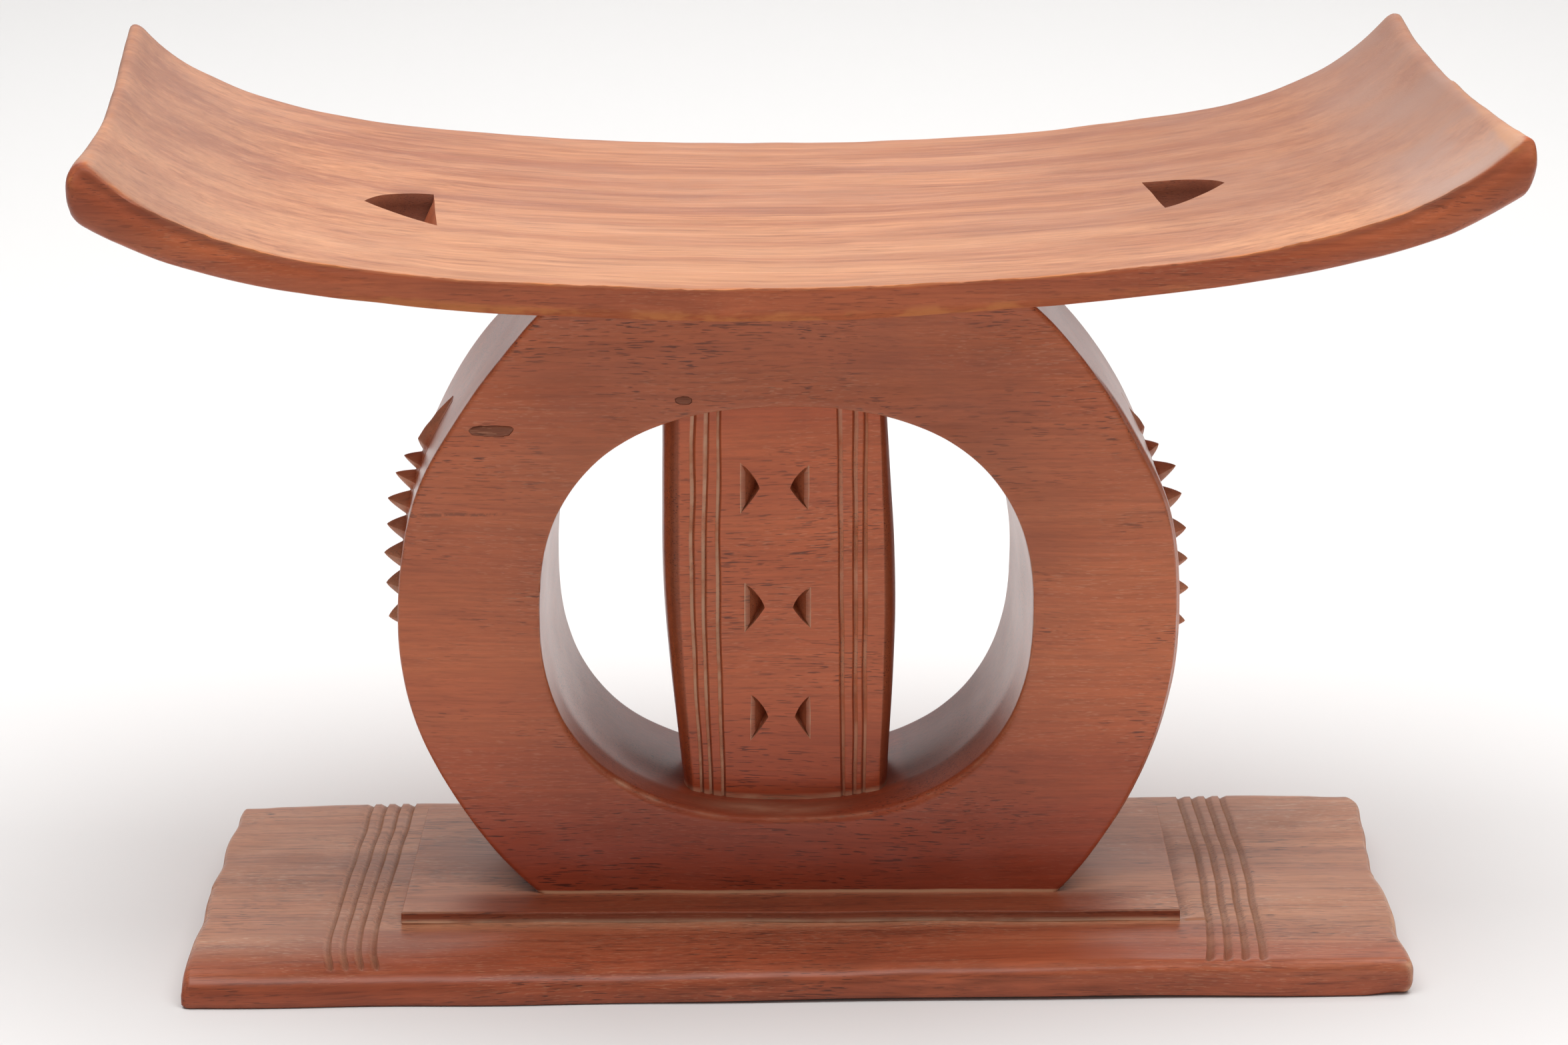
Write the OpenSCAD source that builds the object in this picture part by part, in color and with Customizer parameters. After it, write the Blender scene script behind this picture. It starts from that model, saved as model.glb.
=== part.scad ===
// Carved stool-shaped headrest: a curved seat on an open ring with a centre post,
// standing on a raised pad and a flat base. Millimetres, +Z up.
// The origin is on the floor under the middle of the seat; the front faces -Y.

/* [Seat] */
// Length of the seat from end corner to end corner
seat_w = 416; // [380:1:440]
// Front to back depth of the seat
seat_d = 200; // [170:1:230]
// Height of the middle of the seat's top
seat_z = 230; // [215:1:250]
// Even rise of the top from its middle to its ends
seat_rise = 19; // [10:0.5:30]
// Extra curl of the top close to its ends
seat_curl = 22; // [10:0.5:30]
// Power of the curl: higher keeps it nearer to the ends
seat_curl_power = 7; // [5:0.5:9]
// Thickness at the middle
seat_t = 10; // [8:0.5:14]
// Extra thickness at the ends
seat_t_gain = 9.2; // [4:0.2:12]
// Power of the thickening
seat_t_power = 6; // [4:1:8]
// Bulge of the rounded end faces
end_bulge = 3.5; // [1:0.5:6]
// How far the end outlines bow inward between their corners
end_bow = 6.5; // [2:0.5:9]
// Turn of the seat about the upright axis, left by the carver
seat_turn = 1.25; // [-3:0.25:3]
// Lean of the seat, right end up
seat_lean = 0.4; // [-1:0.1:1]
// Depth of the two chip-carved pockets, straight down from the middle of each
pocket_depth = 8; // [4:0.5:9]

/* [Ring] */
// Half width of the ring
ring_a = 121.6; // [110:0.2:130]
// Half height of the ring before the seat and the pad cut it short
ring_b = 125; // [118:0.2:130]
// Height of the ring's centre
ring_z = 107.8; // [100:0.2:115]
// Front to back depth of the ring
ring_d = 66; // [50:1:80]
// Half width of the hole
hole_a = 77; // [65:0.5:85]
// Half height of the hole
hole_b = 67.5; // [55:0.5:75]
// Roundness of the hole: 2 is an ellipse, higher fills out its corners
hole_power = 2.4; // [2:0.1:3]
// Turn of the ring, post and pad about the upright axis
ring_turn = -1; // [-3:0.25:3]

/* [Centre post] */
// Width of the post's faces at mid height
post_w = 67.6; // [55:0.2:75]
// How much narrower each side of the post is at its top
post_waist_top = 2; // [0:0.2:5]
// How much narrower each side of the post is at its foot
post_waist_foot = 3.4; // [0:0.2:6]
// Front to back depth of the post
post_d = 34; // [20:1:50]
// Bulge of the post's sides beyond its faces
post_bulge = 2.8; // [0:0.2:5]
// Width of a line cut into a face
line_w = 1.5; // [0.8:0.1:3]
// Depth of a line cut into a face
line_depth = 0.9; // [0.4:0.1:1.4]
// Distance between neighbouring lines on the post
post_line_pitch = 3.9; // [3:0.1:5]
// Height of a chip-carved notch along its straight side
notch_h = 16; // [10:0.5:20]
// Width of a notch from its straight side to its point
notch_w = 6; // [4:0.5:9]
// Depth of a notch
notch_depth = 3; // [1:0.5:5]

/* [Crests] */
// Teeth on each crest
tooth_count = 8; // [4:1:8]
// Height of a full tooth above the ring
tooth_h = 6.6; // [4:0.2:8]
// Front to back width of a crest
crest_w = 11; // [6:1:16]

/* [Base] */
// Length of the base slab
base_w = 379; // [340:1:400]
// Front to back depth of the base slab
base_d = 143; // [120:1:170]
// How much the slab's left end leans inward towards the back
base_taper = 5; // [0:0.5:10]
// Thickness of the base slab
base_t = 12; // [9:0.5:18]
// Radius of the rounded top edges of the base slab
base_round = 3.5; // [1:0.5:5]
// Length of the raised pad under the ring
pad_w = 245.5; // [230:0.5:260]
// Front to back depth of the raised pad
pad_d = 91; // [80:1:105]
// Height of the raised pad above the slab
pad_t = 3.3; // [2:0.1:6]
// Distance between neighbouring lines on the base
base_line_pitch = 4.7; // [4:0.1:6]
// Width of a line on the base
base_line_w = 2; // [1:0.1:3]

/* [Fillers] */
// Depth of the wooden fillers let into the ring's front
filler_depth = 2; // [1:0.5:4]

/* [Hidden] */

eps = 0.01;
curve_steps = 24;
big = 500;

// Places of the members, from the origin
ring_x = -1.2;
ring_y = -3.9;
hole_x = -1.9;
hole_z = 108.4;
post_x = -3.5;
pad_x = 0.2;
pad_y = -7;
base_x = 0.3;
base_y = -17.1;
pad_top = base_t + pad_t;

// Lines and notches on the post: middle of each group, from the post's middle
post_line_x = 24.4;
post_lines = 3;
notch_rows_z = [145, 106.5, 69];
notch_x = [-9.6, 5.6];
notch_drift = 1;

// Crest teeth: angle of the first one above the horizontal, then growing steps down
tooth_first = 23.5;
tooth_step = 3.45;
tooth_step_gain = 0.11;
tooth_growth = [0.55, 0.22];
crest_y = 5.3;
crest_root = 1.2;
crest_rib_angle = 12;

// Base lines: middle of each group of four, and its slant
base_lines = 4;
base_line_x = [-135.2, 137.6];
base_line_slant = [2, 2.5];
base_line_depth = 1;
scoop_r = 42;
scoop_depth = 2.2;
scoop_slant = 12;
scoops_left_y = [38, 2, -43];
scoops_right_y = [33, -12, -64];
corner_r = 5;

// Fillers: centre on the ring's front face, half length and half height
oval_filler_at = [-32.5, 178.5];
oval_filler_size = [2.8, 1.3];
long_filler_at = [-91.9, 169.2];
long_filler_size = [7, 1.9];

function lerp(a, b, t) = a + (b - a) * t;
function bezier(p, q, r, n = 8) = [
    for (i = [0:n]) lerp(lerp(p, q, i / n), lerp(q, r, i / n), i / n)
];
function bent(value, power) = sign(value) * pow(abs(value), 2 / power);
function oval(a, b, n, power = 2) = [
    for (i = [0:n - 1])
        [a * bent(cos(360 * i / n), power), b * bent(sin(360 * i / n), power)]
];
function rim(angle, extra = 0) =
    let (r = extra + 1 / norm([cos(angle) / ring_a, sin(angle) / ring_b]))
        [r * cos(angle), r * sin(angle)];
function seat_top(u) = seat_z + seat_rise * u * u + seat_curl * pow(abs(u), seat_curl_power);
function seat_under(u) = seat_top(u) - seat_t - seat_t_gain * pow(abs(u), seat_t_power);
function tooth_angle(i) = tooth_first - tooth_step * i - tooth_step_gain * i * i;

// Extrudes an upright XZ outline from y0 towards +Y
module along_y(y0, depth) {
    translate([0, y0, 0])
        rotate([90, 0, 0])
            mirror([0, 0, 1])
                linear_extrude(depth)
                    children();
}

// Carries the ring and what stands on it to its place
module ring_place() {
    translate([ring_x, ring_y, 0])
        rotate([0, 0, ring_turn])
            children();
}

// Carries the seat to its place
module seat_place() {
    rotate([0, 0, seat_turn])
        translate([0, 0, seat_z])
            rotate([0, -seat_lean, 0])
                translate([0, 0, -seat_z])
                    children();
}

// Side outline of the seat: top, right end, underside, left end
module seat_side() {
    us = [for (i = [-curve_steps:curve_steps]) i / curve_steps];
    end_steps = [for (i = [1:5]) i / 6];
    top = [for (u = us) [u * seat_w / 2, seat_top(u)]];
    right_end = [
        for (t = end_steps)
            [seat_w / 2 + end_bulge * sin(180 * t), lerp(seat_top(1), seat_under(1), t)]
    ];
    under = [for (u = us) [-u * seat_w / 2, seat_under(u)]];
    left_end = [
        for (t = end_steps)
            [-seat_w / 2 - end_bulge * sin(180 * t), lerp(seat_under(1), seat_top(1), t)]
    ];
    polygon(concat(top, right_end, under, left_end));
}

// Everything above the seat's underside, for trimming the ring's top
module above_seat_underside() {
    us = [for (i = [-curve_steps:curve_steps]) i / curve_steps];
    under = [for (u = us) [u * seat_w / 2, seat_under(u)]];
    seat_place()
        along_y(-big / 2, big)
            polygon(concat(under, [[seat_w / 2, big], [-seat_w / 2, big]]));
}

// Plan of a pocket on the left: a rounded point outward, a straight side inward
module pocket_plan() {
    point = [-131, -18.5];
    inner_back = [-111, 0];
    inner_front = [-108.5, -39.5];
    back_side = bezier(inner_back, [-126, -1], point);
    front_side = bezier(point, [-121.5, -30], inner_front);
    polygon(concat(back_side, front_side));
}

module pocket() {
    translate([0, 0, seat_top(0.57) - pocket_depth])
        linear_extrude(big)
            pocket_plan();
}

module seat() {
    end_bow_r = (pow(seat_d / 2, 2) + pow(end_bow, 2)) / (2 * end_bow);
    color("peru")
        seat_place()
            difference() {
                along_y(-seat_d / 2, seat_d)
                    seat_side();
                for (side = [-1, 1])
                    translate([side * (seat_w / 2 + end_bulge - end_bow + end_bow_r), 0, 0])
                        cylinder(h = big, r = end_bow_r, $fn = 360);
                pocket();
                translate([2.5, 7, 0])
                    mirror([1, 0, 0])
                        pocket();
            }
}

module rim_side() {
    translate([0, ring_z])
        polygon(oval(ring_a, ring_b, 5 * curve_steps));
}

module hole_side() {
    translate([hole_x - ring_x, hole_z])
        polygon(oval(hole_a, hole_b, 4 * curve_steps, hole_power));
}

module filler(at, size) {
    ring_place()
        along_y(-ring_d / 2, filler_depth)
            translate(at)
                polygon(oval(size[0], size[1], curve_steps));
}

module oval_filler() {
    color("saddlebrown")
        filler(oval_filler_at, oval_filler_size);
}

module long_filler() {
    color("saddlebrown")
        filler(long_filler_at, long_filler_size);
}

module ring() {
    color("sienna")
        difference() {
            ring_place()
                along_y(-ring_d / 2, ring_d)
                    difference() {
                        rim_side();
                        hole_side();
                        translate([-big / 2, pad_top - big])
                            square([big, big]);
                    }
            above_seat_underside();
            filler(oval_filler_at, oval_filler_size);
            filler(long_filler_at, long_filler_size);
        }
}

// Front view of the post: widest at mid height
module post_side() {
    half = post_w / 2;
    foot = hole_z - hole_b - 1;
    head = hole_z + hole_b + 1;
    right = bezier([half - post_waist_foot, foot], [half + 2.6, hole_z], [half - post_waist_top, head], 12);
    left = [for (i = [12:-1:0]) [-right[i][0], right[i][1]]];
    translate([post_x - ring_x, 0])
        polygon(concat(right, left));
}

// Plan of the post: flat front and back, bowed sides
module post_plan() {
    half = post_w / 2 - 1;
    depth = post_d / 2;
    right = bezier([half, -depth], [half + 2 * post_bulge, 0], [half, depth], 12);
    left = [for (p = right) [-p[0], -p[1]]];
    translate([post_x - ring_x, 0])
        polygon(concat(right, left));
}

// A V-shaped line cut up both faces of the post
module post_line(x) {
    half = line_w / 2;
    for (side = [-1, 1])
        translate([x, side * post_d / 2, 0])
            linear_extrude(big)
                polygon([[-half, side * eps], [half, side * eps], [0, -side * line_depth]]);
}

// A three-cornered notch whose deepest line runs from its straight side to its point
module notch(x, z, dir) {
    for (side = [-1, 1])
        translate([x, side * post_d / 2, z])
            polyhedron(
                [
                    [-dir * notch_w / 2, side * eps, -notch_h / 2],
                    [-dir * notch_w / 2, side * eps, notch_h / 2],
                    [dir * notch_w / 2, side * eps, 0],
                    [dir * notch_w / 5, -side * notch_depth, 0]
                ],
                dir * side < 0
                    ? [[0, 1, 2], [0, 3, 1], [1, 3, 2], [2, 3, 0]]
                    : [[0, 2, 1], [0, 1, 3], [1, 2, 3], [2, 0, 3]]
            );
}

module centre_post() {
    color("sienna")
        ring_place()
            difference() {
                intersection() {
                    along_y(-post_d / 2, post_d)
                        intersection() {
                            hole_side();
                            post_side();
                        }
                    linear_extrude(big)
                        post_plan();
                }
                for (side = [-1, 1])
                    for (i = [0:post_lines - 1])
                        post_line(
                            post_x - ring_x + side * (post_line_x + post_line_pitch * (i - 1))
                        );
                for (row = [0:2]) {
                    notch(post_x - ring_x + notch_x[0] + notch_drift * row, notch_rows_z[row], 1);
                    notch(post_x - ring_x + notch_x[1] - notch_drift * (row - 1) / 2,
                          notch_rows_z[row], -1);
                }
            }
}

// One pointed tooth on the rim, at an angle up from the right-hand horizontal
module tooth(angle, height) {
    foot = norm(rim(angle));
    root = foot - 3;
    tip = foot + height;
    half_h = 4.4;
    translate([0, crest_y, ring_z])
        rotate([0, -angle, 0])
            intersection() {
                along_y(-crest_w / 2, crest_w)
                    polygon([[root, -half_h], [root, half_h], [tip, 0]]);
                translate([0, 0, -half_h])
                    linear_extrude(2 * half_h)
                        polygon([[root, -crest_w / 2], [root, crest_w / 2], [tip, 0]]);
            }
}

// Strip along the rim between two angles, thinning to nothing at its upper end
module rib_side(low, high) {
    angles = [for (i = [0:curve_steps]) lerp(low, high, i / curve_steps)];
    outer = [for (a = angles) rim(a, crest_root * min(1, (high - a) / crest_rib_angle))];
    inner = [for (i = [curve_steps:-1:0]) rim(angles[i], -2)];
    translate([0, ring_z])
        polygon(concat(outer, inner));
}

// A crest: a low rib with a row of teeth, tapering away above the first one
module crest() {
    difference() {
        union() {
            along_y(crest_y - crest_w / 4, crest_w / 2)
                rib_side(tooth_angle(tooth_count - 1) - 2, tooth_first + crest_rib_angle);
            for (i = [0:tooth_count - 1])
                tooth(tooth_angle(i), tooth_h * min(1, tooth_growth[0] + tooth_growth[1] * i));
        }
        along_y(-ring_d, 2 * ring_d)
            rim_side();
    }
}

module right_crest() {
    color("sienna")
        ring_place()
            crest();
}

module left_crest() {
    color("sienna")
        ring_place()
            mirror([1, 0, 0])
                crest();
}

module base_pad() {
    color("sienna")
        translate([pad_x, pad_y, base_t])
            rotate([0, 0, ring_turn])
                translate([-pad_w / 2, -pad_d / 2, 0])
                    cube([pad_w, pad_d, pad_t]);
}

// Plan of the slab with rounded back corners
module base_plan() {
    w = base_w / 2;
    d = base_d / 2;
    right_corner = [
        for (i = [0:6]) [w - corner_r + corner_r * cos(15 * i), d - corner_r + corner_r * sin(15 * i)]
    ];
    left_corner = [for (i = [6:-1:0]) [base_taper - right_corner[i][0], right_corner[i][1]]];
    polygon(concat([[-w, -d], [w, -d]], right_corner, left_corner));
}

// End view of the slab with rounded top edges, Y across and Z up
module base_end() {
    d = base_d / 2;
    front = [
        for (i = [0:6])
            [-d + base_round - base_round * cos(15 * i), base_t - base_round + base_round * sin(15 * i)]
    ];
    back = [for (i = [6:-1:0]) [-front[i][0], front[i][1]]];
    polygon(concat([[-d, 0]], front, back, [[d, 0]]));
}

// A shallow scoop in an end of the slab, deeper at the top edge
module scoop(side, y) {
    taper = side < 0 ? base_taper * (y / base_d + 0.5) : 0;
    translate([side * (base_w / 2 - taper - scoop_depth + scoop_r), y, base_t])
        rotate([0, side * scoop_slant, 0])
            translate([0, 0, -big / 2])
                cylinder(h = big, r = scoop_r, $fn = 90);
}

// A V-shaped line cut across the top of the slab
module base_line(x, slant) {
    half = base_line_w / 2;
    translate([x, 0, base_t])
        rotate([90, 0, -slant])
            translate([0, 0, -big / 2])
                linear_extrude(big)
                    polygon([[-half, eps], [half, eps], [0, -base_line_depth]]);
}

module base_slab() {
    color("rosybrown")
        translate([base_x, base_y, 0])
            difference() {
                intersection() {
                    linear_extrude(base_t)
                        base_plan();
                    rotate([90, 0, 90])
                        translate([0, 0, -big / 2])
                            linear_extrude(big)
                                base_end();
                }
                for (y = scoops_left_y)
                    scoop(-1, y - base_y);
                for (y = scoops_right_y)
                    scoop(1, y - base_y);
                for (side = [0, 1])
                    for (i = [0:base_lines - 1])
                        base_line(
                            base_line_x[side] - base_x
                                + base_line_pitch * (i - (base_lines - 1) / 2),
                            base_line_slant[side]
                        );
            }
}

seat();
ring();
centre_post();
base_pad();
base_slab();
left_crest();
right_crest();
oval_filler();
long_filler();
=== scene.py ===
"""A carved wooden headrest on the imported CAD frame: fine meshes, wood materials, camera, light.

Meshes are worked out in millimetres, and turned to metres when a piece is made.
"""

import math

import bmesh
import bpy
import numpy as np
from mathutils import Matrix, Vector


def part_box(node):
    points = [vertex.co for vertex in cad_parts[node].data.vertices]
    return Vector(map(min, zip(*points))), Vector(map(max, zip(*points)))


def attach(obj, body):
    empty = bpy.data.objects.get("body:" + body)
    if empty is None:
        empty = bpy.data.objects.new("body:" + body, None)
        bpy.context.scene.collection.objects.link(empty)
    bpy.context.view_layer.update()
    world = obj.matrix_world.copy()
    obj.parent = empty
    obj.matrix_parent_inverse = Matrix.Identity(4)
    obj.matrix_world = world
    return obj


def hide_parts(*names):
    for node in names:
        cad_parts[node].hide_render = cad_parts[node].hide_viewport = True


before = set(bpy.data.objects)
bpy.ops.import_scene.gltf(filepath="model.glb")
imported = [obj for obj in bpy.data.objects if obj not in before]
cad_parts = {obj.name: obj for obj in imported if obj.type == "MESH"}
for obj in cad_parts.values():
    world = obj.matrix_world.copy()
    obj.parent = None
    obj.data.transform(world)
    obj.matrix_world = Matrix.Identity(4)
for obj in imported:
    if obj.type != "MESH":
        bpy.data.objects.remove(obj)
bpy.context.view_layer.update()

MM = 0.001
TAU = 2 * math.pi


def node_box(node):
    """A CAD node's lowest and highest corners, in millimetres."""
    low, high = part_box(node)
    return np.array(low) / MM, np.array(high) / MM


# -------- measures

RING_LOW, RING_HIGH = node_box("ring")
PAD_LOW, PAD_HIGH = node_box("base_pad")
SLAB_LOW, SLAB_HIGH = node_box("base_slab")

# The seat: its turn about Z and lean about Y in degrees, half its length and depth, the height
# of its top in the middle, and how far its block reaches past its length
SEAT_TURN = 1.25
SEAT_LEAN = 0.42
SEAT_HALF = 208.0
SEAT_DEPTH_HALF = 99.5
SEAT_LEVEL = 230.07
SEAT_BULGE = 3.6
# How much lower the seat's back edge is than its front edge, along its length
SEAT_DROP = [
    (-212, -1.9), (-203, 0.2), (-184, -0.2), (-133, -0.3), (0, 0.6),
    (75, 1.5), (130, 1.5), (165, 2.5), (190, 1.6), (212, -3.2),
]
# Each end's upper edge, from front (-1) to back (1), and how far the nose stands out below it
SEAT_END = {
    -1: [(-1, 206.4), (-0.6, 206.2), (-0.25, 206.5), (0.15, 207.3), (0.6, 208.8), (1, 210.0)],
    1: [(-1, 209.2), (-0.57, 206.9), (-0.15, 205.7), (0.3, 205.3), (0.7, 206.1), (1, 207.3)],
}
SEAT_NOSE = {-1: 5.9, 1: 2.6}

# The ring: its turn, the x and y of its middle, the height of its middle, half its depth
RING_TURN = -1.0
RING_AT = (RING_LOW + RING_HIGH)[:2] / 2
RING_LEVEL = 107.8
RING_HALF = 33.0
# Half the block that becomes the ring's section, from hole to rim
SECTION_HALF = 22.0
# The hole: middle and half sizes in the ring's plane, squareness, relative width at the back
HOLE_AT = (-0.64, 0.66)
HOLE_SIZE = (77.0, 67.55)
HOLE_POWER = 2.42
HOLE_BACK = 0.955
# Where the lower left edge of the hole is scuffed
RING_SCUFFS = [(-50.6, -55.0), (-42.1, -59.0)]
# How far the ring runs into the seat, and into the pad
SEAT_BITE = 0.35
PAD_BITE = 0.1

# Half the post's depth, and the middle and half the width of the crests along Y
POST_HALF = 17.0
CREST_Y = 5.3
CREST_HALF = 5.6

PAD_TOP = PAD_HIGH[2]
SLAB_TOP = SLAB_HIGH[2]


# -------- number helpers


def smooth(value, low, high):
    """0 below low, 1 above high, with a soft S between."""
    t = np.clip((value - low) / (high - low), 0, 1)
    return t * t * (3 - 2 * t)


def through(keys, at):
    """A smooth curve through (place, value) keys."""
    x, y = np.array(keys, float).T
    slope = np.gradient(y, x)
    at = np.clip(at, x[0], x[-1])
    i = np.clip(np.searchsorted(x, at, "right") - 1, 0, len(x) - 2)
    gap = x[i + 1] - x[i]
    t = (at - x[i]) / gap
    return (
        y[i] * (2 * t**3 - 3 * t**2 + 1)
        + slope[i] * gap * (t**3 - 2 * t**2 + t)
        + y[i + 1] * (3 * t**2 - 2 * t**3)
        + slope[i + 1] * gap * (t**3 - t**2)
    )


def bell(value, middle, width):
    return np.exp(-(((value - middle) / width) ** 2))


def cos_sin(degrees):
    return np.cos(np.radians(degrees)), np.sin(np.radians(degrees))


def ripple(points, wavelength, seed, waves=8):
    """Smooth noise between about -1 and 1: plane waves in seeded directions."""
    rng = np.random.default_rng(seed)
    total = np.zeros(len(points))
    for _ in range(waves):
        way = rng.normal(size=points.shape[1])
        way *= TAU / (wavelength * rng.uniform(0.7, 1.5) * np.linalg.norm(way))
        total += np.sin(points @ way + rng.uniform(0, TAU))
    return total * 0.8 / math.sqrt(waves)


def turned(points, angle, about=(0, 0)):
    """Points turned about a vertical line, angle in degrees."""
    c, s = cos_sin(angle)
    x, y = points[:, 0], points[:, 1]
    return np.column_stack([about[0] + c * x - s * y, about[1] + s * x + c * y, points[:, 2]])


def from_ring(points):
    """Ring-frame points, whose origin is the ring's middle, in the shared frame."""
    return turned(points + [0, 0, RING_LEVEL], RING_TURN, RING_AT)


def from_seat(points):
    """Seat-frame points in the shared frame."""
    c, s = cos_sin(SEAT_LEAN)
    x, z = points[:, 0], points[:, 2] - SEAT_LEVEL
    leaned = np.column_stack([c * x - s * z, points[:, 1], SEAT_LEVEL + s * x + c * z])
    return turned(leaned, SEAT_TURN)


# -------- mesh helpers


def spread(half, zone, step, steps=5, extra=()):
    """Grid places from -half to half, crowded within zone of both ends."""
    corner = half - zone + zone * np.tan(np.radians(np.linspace(0, 45, steps + 1)))
    inner = half - zone
    count = max(1, int(round(2 * inner / step)))
    middle = np.linspace(-inner, inner, count + 1)[1:-1]
    if len(extra):
        middle = np.array([m for m in middle if np.min(np.abs(m - np.array(extra))) > 0.35 * step])
        middle = np.sort(np.concatenate([middle, extra]))
    return np.concatenate([-corner[::-1], middle, corner])


def block(xs, ys, zs):
    """A box surface with grid lines at the given places: its points and its quads."""
    shell = np.zeros((len(xs), len(ys), len(zs)), bool)
    shell[[0, -1]] = True
    shell[:, [0, -1]] = True
    shell[:, :, [0, -1]] = True
    index = np.full(shell.shape, -1)
    index[shell] = np.arange(shell.sum())
    quads = []
    for axis in range(3):
        for end in (0, -1):
            side = np.take(index, end, axis)
            quad = np.stack([side[:-1, :-1], side[1:, :-1], side[1:, 1:], side[:-1, 1:]], -1)
            quad = quad.reshape(-1, 4)
            quads.append(quad[:, ::-1] if (end == 0) != (axis == 1) else quad)
    at = np.argwhere(shell)
    return np.column_stack([xs[at[:, 0]], ys[at[:, 1]], zs[at[:, 2]]]), np.concatenate(quads)


def rounded(points, half, radius):
    """Moves a box's surface points onto rounded edges, and says how far round each is."""
    core = np.clip(points, radius - half, half - radius)
    part = (points - core) / radius
    length = np.maximum(np.linalg.norm(part, axis=1), 1e-9)
    largest = np.abs(part).max(1)
    edge = np.clip((length / np.maximum(largest, 1e-9) - 1) / 0.414, 0, 1)
    return core + radius * part / length[:, None], edge


def mesh_object(name, points, faces, marks=None):
    """A mesh object from millimetre points, with its wear and cut marks on the corners."""
    mesh = bpy.data.meshes.new(name)
    mesh.from_pydata((points * MM).tolist(), [], [list(map(int, f)) for f in faces])
    mesh.update()
    layer = mesh.color_attributes.new("marks", "FLOAT_COLOR", "CORNER")
    corners = np.zeros(len(mesh.loops), int)
    mesh.loops.foreach_get("vertex_index", corners)
    values = np.zeros((len(points), 4)) if marks is None else marks
    layer.data.foreach_set("color", values[corners].astype(np.float32).ravel())
    obj = bpy.data.objects.new(name, mesh)
    bpy.context.collection.objects.link(obj)
    return obj


def marks_of(wear, cut=0.0, grime_and_shade=0.0, faded_and_sheen=0.0):
    """The marks of every point: edge wear, with painted light from below on the seat's lower front; raw
    cut wood; grime and painted shade; and faded or dull wood, which on the base is a painted sheen.
    """
    none = np.zeros(len(wear))
    return np.column_stack([wear, none + cut, none + grime_and_shade, none + faded_and_sheen])


def carve(obj, cutters):
    """Cuts the closed cutters out of obj, and removes them."""
    for cutter in cutters:
        change = obj.modifiers.new("cut", "BOOLEAN")
        change.operation = "DIFFERENCE"
        change.solver = "EXACT"
        change.object = cutter
    view = bpy.context.evaluated_depsgraph_get()
    mesh = bpy.data.meshes.new_from_object(obj.evaluated_get(view))
    obj.modifiers.clear()
    obj.data = mesh
    for cutter in cutters:
        bpy.data.objects.remove(cutter)


def finish_mesh(obj, crease=38):
    """Merges doubles, smooths the shading and keeps edges steeper than crease sharp."""
    mesh = bmesh.new()
    mesh.from_mesh(obj.data)
    bmesh.ops.remove_doubles(mesh, verts=mesh.verts, dist=2e-6)
    bmesh.ops.recalc_face_normals(mesh, faces=mesh.faces)
    limit = math.radians(crease)
    for face in mesh.faces:
        face.smooth = True
    for edge in mesh.edges:
        edge.smooth = len(edge.link_faces) == 2 and edge.calc_face_angle(0) < limit
    mesh.to_mesh(obj.data)
    mesh.free()
    return obj


def prism(rings, name, marks):
    """A closed solid from a stack of outlines with the same number of points each."""
    count = len(rings[0])
    points = np.concatenate(rings)
    last = len(points) - count
    faces = [list(range(count))[::-1]]
    for low in range(0, last, count):
        high = low + count
        for i in range(count):
            j = (i + 1) % count
            faces.append([low + i, low + j, high + j, high + i])
    faces.append(list(range(last, len(points))))
    return finish_mesh(mesh_object(name, points, faces, marks))


def arc_between(start, bend, end, count):
    """Points on a curve from start to end pulled towards bend, without the last one."""
    t = np.linspace(0, 1, count, endpoint=False)[:, None]
    start, bend, end = map(np.array, (start, bend, end))
    return (1 - t) ** 2 * start + 2 * t * (1 - t) * bend + t**2 * end


# -------- seat


# Each pocket's plan: its point, its back and front corners, the two bends between, its bottom
POCKETS = {
    -1: ((-131.6, -16.1), (-111, 2.7), (-108.9, -37), (-126.5, 0.5), (-122.5, -26.5), (-117, -10)),
    1: ((134.1, -10.5), (110.5, 5.9), (112.7, -31.4), (130, 3), (125, -24), (118.5, -6.5)),
}
# Down a pocket: the size of its plan, that of its straight side, the depth, how deep in shade
POCKET_STACK = (
    (1, 1, -4, 0.0), (1, 1, 0, 0.2), (0.97, 0.95, 0.6, 0.5), (0.92, 0.72, 3.4, 1),
    (0.84, 0.5, 6.4, 1), (0.7, 0.35, 8.3, 1), (0.1, 0.1, 8.8, 1),
)


def seat_top(x):
    u = np.abs(x) / SEAT_HALF
    return SEAT_LEVEL + 18.85 * u**2 + 22.13 * u**7


def seat_thickness(x):
    u = np.abs(x) / SEAT_HALF
    return 10.4 - 2.67 * u**2 + 11.84 * u**6 - 0.6 * smooth(x, -20, 90)


def seat_level(x, y, share):
    """Height in the seat's thickness: share is 1 on top and 0 underneath."""
    drop = through(SEAT_DROP, x) * (y + SEAT_DEPTH_HALF) / (2 * SEAT_DEPTH_HALF)
    return seat_top(x) - drop - seat_thickness(x) * (1 - share)


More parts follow.
